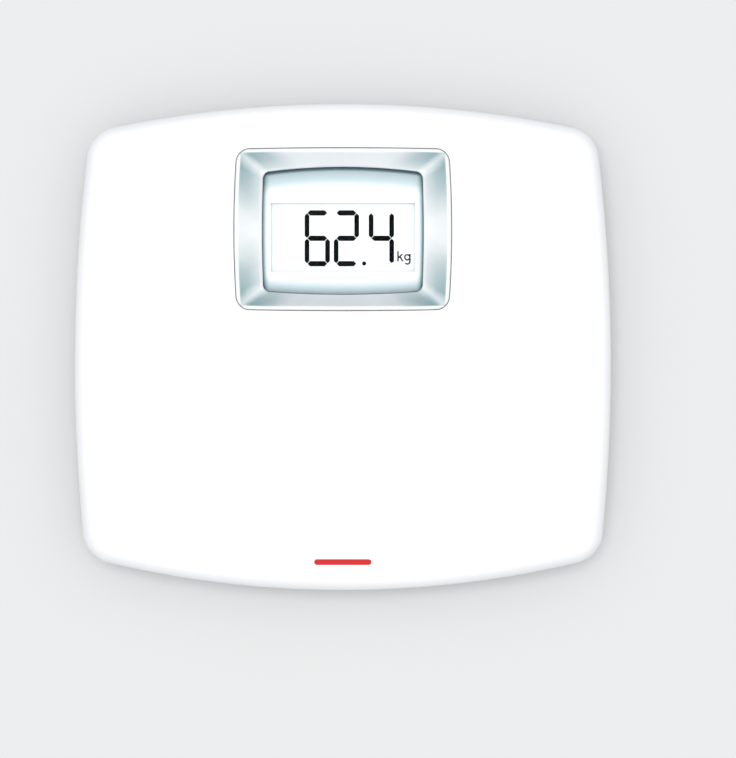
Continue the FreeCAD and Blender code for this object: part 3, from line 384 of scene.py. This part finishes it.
def surround_white():
    """White mask with painted shade: blue-grey towards its rear and front edges, and a dark painted shadow
    along its edges under the rim.
    """
    g = Graph("surround_white")
    x, y = display_plane(g)
    from_rear = g.math("SUBTRACT", bowed(g, VIEW_REAR, x, VIEW_REAR_R), y)
    from_front = g.math("ADD", y, bowed(g, -VIEW_FRONT, x, VIEW_FRONT_R))
    from_side = g.math("SUBTRACT", bowed(g, VIEW_X, y, VIEW_SIDE_R), x)
    # dark is a painted shadow under the bezel's rim and grey is painted shade towards the edges; white is the
    # mask's own colour
    dark, grey, white = (0.05, 0.085, 0.10), (0.46, 0.545, 0.565), (0.985, 0.99, 0.99)
    rear_shade_width, front_shade_width, side_shade_width = 16.0, 12.0, 6.0

    def painted_shade(distance, width, *stops):
        return g.ramp(g.math("DIVIDE", distance, width, True), *stops)

    rear = painted_shade(from_rear, rear_shade_width, (0.0, dark), (0.09, shade(dark, 2.2)), (0.16, grey),
                (0.45, shade(grey, 1.22)), (0.85, white))
    front = painted_shade(from_front, front_shade_width, (0.0, shade(dark, 1.6)), (0.07, shade(grey, 0.8)),
                 (0.35, shade(grey, 1.2)), (0.85, white))
    side = painted_shade(from_side, side_shade_width, (0.0, dark), (0.18, shade(grey, 0.8)),
                (0.32, shade(grey, 1.35)), (0.6, white))
    tone = g.mix(1.0, g.mix(1.0, rear, front, "DARKEN"), side, "MULTIPLY")
    print_grain = g.noise(1900.0, 2.0)
    return g.principled(Base_Color=tone, Roughness=g.ramp(print_grain, (0.3, 0.40), (0.7, 0.50)),
                        Normal=g.bump(print_grain, 0.05))


def lcd_pearl():
    """Reflective back of the liquid-crystal cell: pearly, faintly mottled, with a faint glow that is painted
    light, since the cell has no lamp.
    """
    g = Graph("lcd_pearl")
    pearl = g.noise(3200.0, 2.0)
    drift = g.noise(30.0)
    ground = g.ramp(drift, (0.3, (0.96, 0.975, 0.98)), (0.7, (0.98, 0.99, 0.99)))
    tone = g.mix(g.ramp(pearl, (0.35, 0.0), (0.65, 0.5)), ground, (0.99, 0.995, 0.995))
    # the emission is painted light that brightens the cell
    return g.principled(Base_Color=tone, Roughness=g.ramp(drift, (0.3, 0.5), (0.7, 0.6)),
                        Normal=g.bump(pearl, 0.04), Emission_Color=(0.95, 0.98, 1.0),
                        Emission_Strength=0.14)


def segment_black():
    """Lit marks of the display: near black, almost without shine."""
    g = Graph("segment_black")
    drift = g.noise(90.0)
    tone = g.ramp(drift, (0.3, (0.003, 0.004, 0.005)), (0.7, (0.010, 0.012, 0.014)))
    return g.principled(Base_Color=tone, Roughness=g.ramp(drift, (0.3, 0.5), (0.7, 0.62)),
                        Specular_IOR_Level=0.05)


def board_green():
    """Solder mask over copper: two greens in a brick pattern, with lighter lanes between them."""
    g = Graph("board_green")
    lanes = g.node("TexBrick")
    lanes.inputs["Scale"].default_value = 160.0
    lanes.inputs["Mortar Size"].default_value = 0.06
    lanes.inputs["Color1"].default_value = (0.010, 0.115, 0.045, 1.0)
    lanes.inputs["Color2"].default_value = (0.014, 0.150, 0.060, 1.0)
    lanes.inputs["Mortar"].default_value = (0.030, 0.230, 0.100, 1.0)
    g.link(g.coords(), lanes.inputs["Vector"])
    weave = g.noise(900.0)
    tone = g.mix(g.ramp(weave, (0.3, 0.0), (0.7, 0.25)), lanes.outputs["Color"], (0.02, 0.09, 0.04))
    return g.principled(Base_Color=tone,
                        Roughness=g.ramp(weave, (0.3, 0.28), (0.7, 0.4)), Normal=g.bump(weave, 0.08))


def banded(name, dark, light, axis, per_metre, rough):
    """Bands along one axis, as on a zebra strip, a capacitor's sleeve or a strain gauge."""
    g = Graph(name)
    wave = g.node("TexWave", bands_direction=axis)
    wave.inputs["Scale"].default_value = per_metre
    wave.inputs["Distortion"].default_value = 0.4
    g.link(g.coords(), wave.inputs["Vector"])
    tone = g.ramp(wave.outputs["Fac"], (0.45, dark), (0.55, light))
    gloss = g.ramp(g.noise(300.0), (0.3, rough * 0.9), (0.7, rough * 1.1))
    return g.principled(Base_Color=tone, Roughness=gloss)


def shell_white():
    """Glossy white shell: faint drift of tone, fine moulded grain, painted shade that cools and dims the
    corners, and a dark painted shadow in the display pocket.

    The gloss stays over 0.28: where it ran from 0.26 up, faint patches showed on the skirt.
    """
    pocket_margin, shade_spread = 2.0, 0.35
    g = Graph("shell_white")
    split = g.node("SeparateXYZ")
    g.link(g.coords(), split.inputs[0])
    x, y = display_plane(g)
    height = g.math("MULTIPLY", split.outputs["Z"], 1.0 / MM)
    ahead = g.math("ADD", y, DISPLAY_Y)
    from_middle = g.math("ADD", g.math("MULTIPLY", x, x), g.math("MULTIPLY", ahead, ahead))
    fall = g.math("DIVIDE", from_middle, 2.0 * DOME_R)
    depth = g.math("SUBTRACT", g.math("SUBTRACT", DOME_TOP, fall), height)
    inside = g.math("MULTIPLY", g.math("LESS_THAN", x, BEZEL_X + pocket_margin),
                    g.math("LESS_THAN", g.math("ABSOLUTE", y), BEZEL_Y + pocket_margin))
    deep = g.ramp(g.math("DIVIDE", depth, 1.0, True), (0.15, 0.0), (0.45, 1.0))
    drift = g.noise(14.0)
    grain = g.noise(2400.0, 1.0)
    tone = g.ramp(drift, (0.3, (0.750, 0.757, 0.765)), (0.7, (0.762, 0.767, 0.772)))
    wide = g.math("DIVIDE", x, BODY["half_x"])
    far = g.math("DIVIDE", ahead, BODY["rear"])
    spread = g.math("SQRT", g.math("ADD", g.math("MULTIPLY", wide, wide), g.math("MULTIPLY", far, far)))
    # painted shade towards the corners
    corner = g.ramp(g.math("DIVIDE", g.math("SUBTRACT", spread, 1.0), shade_spread, True),
                    (0.0, 0.0), (1.0, 1.0))
    # colours of the painted corner shade and of the painted shadow in the pocket round the bezel
    corner_painted_shade, pocket_painted_shadow = (0.722, 0.733, 0.750), (0.035, 0.035, 0.04)
    tone = g.mix(corner, tone, corner_painted_shade)
    tone = g.mix(g.math("MULTIPLY", inside, deep), tone, pocket_painted_shadow)
    gloss = g.ramp(g.noise(25.0), (0.2, 0.285), (0.8, 0.34))
    return g.principled(Base_Color=tone, Roughness=gloss, Normal=g.bump(grain, 0.004),
                        Coat_Weight=0.5, Coat_Roughness=0.12)


def cell_sleeve(name, sign):
    """Printed sleeve of a dry cell: black with a copper end, bare steel at both ends.

    sign is 1 where the copper end points to +X and -1 where it points to -X.
    """
    reach = 30.0                            # millimetres each way along X that the pattern covers
    g = Graph(name)
    split = g.node("SeparateXYZ")
    g.link(g.coords(), split.inputs[0])
    along = g.math("MULTIPLY", split.outputs["X"], sign / MM)
    place = g.math("DIVIDE", g.math("ADD", along, reach), 2.0 * reach, True)
    steel, black, copper = (0.62, 0.62, 0.62), (0.015, 0.016, 0.02), (0.62, 0.27, 0.10)
    tone = g.ramp(place, (0.0, steel), (0.135, steel), (0.14, black), (0.62, black), (0.625, copper),
                  (0.855, copper), (0.86, steel))
    scuff = g.noise(240.0, 4.0)
    worn = g.mix(g.ramp(scuff, (0.45, 0.0), (0.75, 0.25)), tone, (0.35, 0.33, 0.31))
    return g.principled(Base_Color=worn, Roughness=g.ramp(scuff, (0.3, 0.24), (0.7, 0.40)), Metallic=0.6)


LOOKS = {
    "white_shell": shell_white(),
    "base_plastic": plastic("base_white", (0.80, 0.81, 0.82), 0.52, vary=0.05, grain=0.35),
    "screw_steel": metal("zinc_screw", (0.66, 0.67, 0.69), 0.30),
    "silver_bezel": bezel_silver(),
    "foam": plastic("foam_grey", (0.10, 0.10, 0.11), 0.9, vary=0.3, grain=1.0, grain_scale=900.0),
    "clear_lens": clear("lens_clear", (0.985, 0.99, 0.995), 0.006, 0.04),
    "white_mask": surround_white(),
    "polariser_film": clear("polariser", (0.985, 0.99, 0.985), 0.008, 0.12),
    "lcd_glass": clear("cell_glass", (0.985, 0.99, 0.99), 0.006, 0.03),
    "segment_ink": segment_black(),
    "reflector_film": lcd_pearl(),
    "inner_plastic": plastic("natural_abs", (0.72, 0.71, 0.67), 0.5, vary=0.05, grain=0.2),
    "elastomer": banded("zebra", (0.02, 0.02, 0.02), (0.55, 0.50, 0.42), "X", 900.0, 0.6),
    "circuit_board": board_green(),
    "epoxy": plastic("potting_black", (0.012, 0.012, 0.014), 0.22, vary=0.3, grain=0.1, grain_scale=500.0),
    "chip_ceramic": plastic("chip_bodies", (0.10, 0.08, 0.06), 0.45, vary=0.35, grain=0.2),
    "capacitor_sleeve": banded("capacitor", (0.015, 0.02, 0.05), (0.03, 0.04, 0.10), "Z", 420.0, 0.35),
    "crystal_can": metal("crystal_steel", (0.72, 0.73, 0.75), 0.22, stretch=(1.0, 6.0, 6.0)),
    "header_plastic": plastic("header_nylon", (0.82, 0.80, 0.74), 0.42, vary=0.06),
    "plunger_plastic": plastic("plunger_black", (0.03, 0.03, 0.035), 0.4, vary=0.2),
    "button_plastic": plastic("button_grey", (0.36, 0.38, 0.41), 0.45, vary=0.10, grain=0.3),
    "gauge_film": banded("gauge", (0.55, 0.28, 0.06), (0.72, 0.45, 0.16), "Y", 700.0, 0.35),
    "battery_sleeve": cell_sleeve("battery_rear", 1.0),
    "contact_metal": metal("nickel", (0.78, 0.76, 0.70), 0.24, stretch=(4.0, 1.0, 1.0)),
    "lead_jacket": plastic("lead_red", (0.50, 0.03, 0.03), 0.42, vary=0.15, grain=0.2),
    "cable_jacket": plastic("cable_grey", (0.40, 0.41, 0.43), 0.5, vary=0.12, grain=0.3),
    "foot_plastic": plastic("foot_grey", (0.58, 0.60, 0.62), 0.5, vary=0.07, grain=0.35),
    "foot_rubber": plastic("foot_rubber", (0.16, 0.165, 0.17), 0.8, vary=0.18, grain=0.7, grain_scale=1000.0),
    "cell_steel": metal("cell_steel", (0.62, 0.63, 0.64), 0.34, stretch=(1.0, 8.0, 8.0)),
}
SLOT_OF = {part["node"]: part["material_slot"] for part in frame["record"]["subparts"]}
OWN_LOOK = {"lcd_rear_glass": LOOKS["reflector_film"], "battery_2": cell_sleeve("battery_front", -1.0)}
for name, obj in NODES.items():
    obj.data.materials.clear()
    obj.data.materials.append(OWN_LOOK.get(name, LOOKS[SLOT_OF[name]]))


# ------------------------------------------------------------ pieces drawn finer than the CAD mesh
def body_ring(inset, z):
    """The body's outline on the drafted wall at one height."""
    return at_height(BODY_P - BODY_N * (inset + (RIM_Z - z) * math.tan(DRAFT)), z)


def edge_rings(inset, count):
    """Rings of the rounding that rolls between the drafted wall and the crown, wall end first.

    The height of the rolling ball's middle is found by halving the gap between two heights that hold it.
    """
    lowest, highest, halvings = 10.0, 41.0, 50
    r, big = EDGE_R - inset, DOME_R - EDGE_R
    edge = BODY_P - BODY_N * inset
    low, high = np.full(len(edge), lowest), np.full(len(edge), highest)
    for _ in range(halvings):
        z = (low + high) / 2
        middle = edge - BODY_N * ((r - (z - RIM_Z) * math.sin(DRAFT)) / math.cos(DRAFT))[:, None]
        gap = np.sqrt((middle ** 2).sum(1) + (z - DOME_TOP + DOME_R) ** 2) - big
        low, high = np.where(gap < 0, z, low), np.where(gap < 0, high, z)
    ball = at_height(middle, z)
    wall = np.concatenate([BODY_N * math.cos(DRAFT), np.full((len(edge), 1), -math.sin(DRAFT))], 1)
    crown = ball - np.array([0.0, 0.0, DOME_TOP - DOME_R])
    crown /= np.linalg.norm(crown, axis=1)[:, None]
    turn = np.arccos((wall * crown).sum(1))[:, None]
    return [ball + r * (np.sin((1 - t) * turn) * wall + np.sin(t * turn) * crown) / np.sin(turn)
            for t in np.linspace(0.0, 1.0, count)]


def cover_skin():
    """The platform cover: skirt, rolled edge, crown, display pocket with its ledge, and the inside."""
    foot_round, crown_steps, inside_steps = 0.4, 40, 24
    outer = edge_rings(0.0, 18)
    rings = rounded(body_ring(0.0, SKIRT_Z), body_ring(foot_round, SKIRT_Z),
                    body_ring(0.0, SKIRT_Z + foot_round), 3)
    rings += between(rings[-1], outer[0], 6)[:-1] + outer
    lip = on_display(bezel_ring(-POCKET_GAP - POCKET_ROUND, 0.0))[:, :2]
    for k in range(1, crown_steps + 1):
        xy = outer[-1][:, :2] + (lip - outer[-1][:, :2]) * (k / crown_steps)
        rings.append(at_height(xy, dome_z(xy)))
    pocket = on_display(bezel_ring(-POCKET_GAP, LEDGE_Z))
    mouth = on_display(bezel_ring(-POCKET_GAP, 0.0))
    mouth[:, 2] = dome_z(mouth[:, :2])
    drop = np.array([0.0, 0.0, POCKET_ROUND])
    rings += rounded(mouth, rings[-1], mouth - drop, 4)[1:] + between(mouth - drop, pocket, 3)
    rings += [on_display(bezel_ring(LEDGE_W, LEDGE_Z)), on_display(bezel_ring(LEDGE_W, LEDGE_Z - LEDGE_T)),
              on_display(bezel_ring(-SEAT_OUT, LEDGE_Z - LEDGE_T))]
    inner = edge_rings(WALL, 12)
    seat = rings[-1][:, :2]
    for k in range(inside_steps + 1):
        xy = seat + (inner[-1][:, :2] - seat) * (k / inside_steps)
        rings.append(at_height(xy, dome_z(xy, WALL)))
    rings += inner[-2::-1] + between(inner[0], body_ring(WALL, SKIRT_Z), 4)
    skin = tube("cover_skin", rings, LOOKS["white_shell"])
    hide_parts("platform_cover")


def bezel_skin():
    """The bezel: proud rounded rim, sloping faces that meet in mitres, and the wall of the opening."""
    flange_low, outer_low, rim_round, soft = -3.0, -1.5, 1.3, 0.55
    lip_in, wall, thick = LIP_W - 0.5, 1.8, 2.2
    top, foot = bezel_ring(lip_in, LIP_H), view_ring(0.0, FUNNEL_Z)
    slope = foot - top
    reach = np.linalg.norm(slope, axis=1)[:, None]
    rings = [bezel_ring(0.0, flange_low), bezel_ring(0.0, outer_low)]
    rings += rounded(bezel_ring(0.0, LIP_H), bezel_ring(0.0, LIP_H - rim_round),
                     bezel_ring(rim_round, LIP_H), 8)
    rings += rounded(top, bezel_ring(lip_in - soft, LIP_H), top + slope * soft / reach, 6)
    rings += between(rings[-1], foot - slope * soft / reach, 14)
    rings += rounded(foot, rings[-1], view_ring(0.0, FUNNEL_Z - soft), 6)[1:]
    # the opening's wall ends a hair over the bent lens
    over_lens = LENS_TOP - LENS_R + np.sqrt((LENS_R + 0.15) ** 2 - (VIEW_P[:, 1] - LCD_Y) ** 2)
    wall_end = np.minimum(over_lens, FUNNEL_Z - soft - 0.05)
    rings += [view_ring(0.0, wall_end), view_ring(-wall, wall_end), view_ring(-wall, FUNNEL_Z - thick),
              bezel_ring(thick, -2.4), bezel_ring(thick, flange_low)]
    rings = [on_display(r) for r in rings]
    bezel = tube("bezel_skin", rings, LOOKS["silver_bezel"])
    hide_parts("display_bezel")


BOX_FACES = [(3, 2, 1, 0), (4, 5, 6, 7), (0, 1, 5, 4), (1, 2, 6, 5), (2, 3, 7, 6), (3, 0, 4, 7)]


def box_corners(low, high):
    """A box's eight corners, the lower four first, in the order that BOX_FACES joins."""
    (x0, y0, z0), (x1, y1, z1) = low, high
    return np.array([(x, y, z) for z in (z0, z1) for x, y in ((x0, y0), (x1, y0), (x1, y1), (x0, y1))])


def cell_cover():
    """Front glass and polariser of the liquid-crystal cell as one clear sheet."""
    corners = box_corners((-COVER_X, LCD_Y - COVER_Y, COVER_LOW), (COVER_X, LCD_Y + COVER_Y, COVER_HIGH))
    sheet = solid("cell_cover", on_display(corners) * MM, BOX_FACES, LOOKS["lcd_glass"])
    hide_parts("lcd_front_glass", "lcd_polariser")


def square_loop(half_x, front, rear, per_side=10):
    """Points counter-clockwise round a rectangle, from its front right corner."""
    corners = np.array([[half_x, front], [half_x, rear], [-half_x, rear], [-half_x, front]])
    t = np.arange(per_side)[:, None] / per_side
    return np.concatenate([a + (b - a) * t for a, b in zip(corners, np.roll(corners, -1, axis=0))])


def load_cell(place):
    """A load cell in three plates: the fixed frame, the beams that bend, and the tongue the foot lifts."""
    node, foot = "load_cell_" + place, "foot_" + place
    low, high = (np.array(corner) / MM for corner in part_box(node))
    centre, half = (low + high) / 2, (high - low)[0] / 2

    outer = square_loop(half, -half, half)
    core = np.clip(outer, CELL_ROUND - half, half - CELL_ROUND)
    reach = outer - core
    frame_edge = core + CELL_ROUND * reach / np.linalg.norm(reach, axis=1)[:, None]
    turn = 2 * math.pi * np.arange(len(outer)) / len(outer) - math.pi / 4
    pin_hole = PIN_HOLE_R * np.stack([np.cos(turn), np.sin(turn)], 1)

    def plate(part, edge, opening, body="housing"):
        rings = [at_height(loop + centre[:2], z)
                 for loop, z in ((edge, low[2]), (edge, high[2]), (opening, high[2]), (opening, low[2]))]
        made = tube(node + part, rings, LOOKS["cell_steel"], body)
        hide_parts(node)
        return made

    plate("_frame", frame_edge, square_loop(CELL_WINDOW, -CELL_WINDOW, CELL_WINDOW))
    beams = plate("_beams", square_loop(BEAM_X, -CELL_WINDOW, BEAM_REAR),
                  square_loop(BEAM_GAP_X, BEAM_GAP_FRONT, TONGUE_REAR), None)
    plate("_tongue", square_loop(TONGUE_X, TONGUE_FRONT, TONGUE_REAR), pin_hole, foot)

    films = [box_corners((centre[0] + x - GAUGE_HALF, centre[1] + GAUGE_FRONT, high[2]),
                         (centre[0] + x + GAUGE_HALF, centre[1] + GAUGE_REAR, high[2] + GAUGE_T))
             for x in (-GAUGE_X, GAUGE_X)]
    gauges = solid("strain_gauges_" + place, np.concatenate(films) * MM,
                   BOX_FACES + [tuple(8 + k for k in face) for face in BOX_FACES],
                   LOOKS["gauge_film"], None)
    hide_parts("strain_gauges")
    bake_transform(beams)
    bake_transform(gauges)


def accent_bar():
    """A plain red printed bar near the front edge, a hair proud of the crown."""
    steps = 16
    turn = np.linspace(-math.pi / 2, math.pi / 2, steps)
    right = np.stack([BAR_HALF - BAR_R + BAR_R * np.cos(turn), BAR_Y + BAR_R * np.sin(turn)], 1)
    left = np.stack([-right[::-1, 0], right[::-1, 1]], 1)
    xy = np.concatenate([right, left])
    count = len(xy)
    verts = np.concatenate([at_height(xy, dome_z(xy) + BAR_LOW), at_height(xy, dome_z(xy) + BAR_HIGH)])
    faces = [(k, (k + 1) % count, count + (k + 1) % count, count + k) for k in range(count)]
    for k in range(steps - 1):
        a, b, c, d = k, k + 1, count - 2 - k, count - 1 - k
        faces += [(d, c, b, a), (count + a, count + b, count + c, count + d)]
    ink = plastic("accent_red", (0.56, 0.003, 0.006), 0.38, vary=0.08, grain=0.05)
    solid("accent_bar", verts * MM, faces, ink)


cover_skin()
bezel_skin()
cell_cover()
accent_bar()
for place in FEET:
    load_cell(place)

# ------------------------------------------------------------ floor, light, camera
FLOOR_HALF = 4.0
bpy.ops.mesh.primitive_plane_add(size=2 * FLOOR_HALF, location=(0.0, 0.0, 0.0))
floor = bpy.context.object
floor.name = "floor"
FLOOR_GREY = (0.622, 0.622, 0.622)
floor.data.materials.append(plastic("floor_grey", FLOOR_GREY, 0.85, vary=0.006, grain=0.02, cloud=5.0,
                                    specular=0.05))

# a sky dimmer at the horizon than overhead
world = bpy.data.worlds.new("sky")
bpy.context.scene.world = world
world.use_nodes = True
sky = world.node_tree
sky.nodes.clear()
position = sky.nodes.new("ShaderNodeTexCoord")
split = sky.nodes.new("ShaderNodeSeparateXYZ")
fade = sky.nodes.new("ShaderNodeValToRGB")
back = sky.nodes.new("ShaderNodeBackground")
sky_out = sky.nodes.new("ShaderNodeOutputWorld")
HORIZON, ZENITH = (0.46, 0.50, 0.54), (1.0, 1.0, 1.0)
SKY_STRENGTH = 1.12
SKY_STOPS = (0.30, 0.68)          # sine of elevation where the sky starts and ends brightening
for mark, place, colour in zip(fade.color_ramp.elements, SKY_STOPS, (HORIZON, ZENITH)):
    mark.position = place
    mark.color = (*colour, 1.0)
back.inputs["Strength"].default_value = SKY_STRENGTH
sky.links.new(position.outputs["Generated"], split.inputs[0])
sky.links.new(split.outputs["Z"], fade.inputs["Fac"])
sky.links.new(fade.outputs["Color"], back.inputs["Color"])
sky.links.new(back.outputs[0], sky_out.inputs["Surface"])

# a soft lamp overhead, left out of reflections so that its glare doesn't hide the digits
SUN_ANGLE, SUN_STRENGTH = math.radians(25.0), 1.25
SUN_TILT = (math.radians(-4.0), math.radians(-3.0), 0.0)
sun_data = bpy.data.lights.new("overhead", "SUN")
sun_data.angle = SUN_ANGLE
sun_data.energy = SUN_STRENGTH
sun = bpy.data.objects.new("overhead", sun_data)
sun.visible_glossy = False
sun.rotation_euler = SUN_TILT
bpy.context.collection.objects.link(sun)

# a camera straight overhead; the view is IMAGE_WIDE metres wide at the height of the platform's rim
LENS_TO_RIM = 2.5
IMAGE_WIDE = 0.4525
SENSOR = 36.0
CAMERA_X, CAMERA_Y = 0.0150, -0.0191
camera_data = bpy.data.cameras.new("camera")
camera_data.sensor_width = SENSOR
camera_data.sensor_fit = "AUTO"
camera_data.lens = SENSOR * LENS_TO_RIM / IMAGE_WIDE
camera = bpy.data.objects.new("camera", camera_data)
camera.location = (CAMERA_X, CAMERA_Y, RIM_Z * MM + LENS_TO_RIM)
bpy.context.collection.objects.link(camera)
bpy.context.scene.camera = camera
bpy.context.scene.view_settings.view_transform = "Standard"
